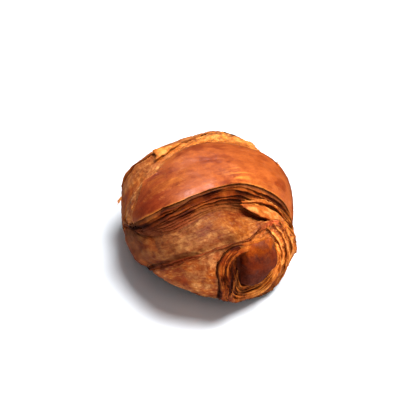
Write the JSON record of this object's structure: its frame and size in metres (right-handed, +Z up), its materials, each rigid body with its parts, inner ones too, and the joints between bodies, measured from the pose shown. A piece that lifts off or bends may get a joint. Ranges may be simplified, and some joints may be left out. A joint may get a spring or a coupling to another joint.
{
  "type": "croissant",
  "caption": "Baked butter croissant rolled from laminated dough: a plump belt round the middle, stepped spiral turns to each arm and a flat spot to rest on.",
  "frame": {"origin": "centre of the bounding box, on the surface that the croissant rests on", "axes": "+Z up, X along the length with the near arm's tip towards -X, both arms bending towards -Y"},
  "size_m": [0.1086, 0.0772, 0.0548],
  "materials": {
    "crust": "egg-washed flaky crust: glossy reddish brown on the crown, matt golden tan between the layers"
  },
  "bodies": {
    "root": {"croissant": "crust"}
  },
  "joints": []
}
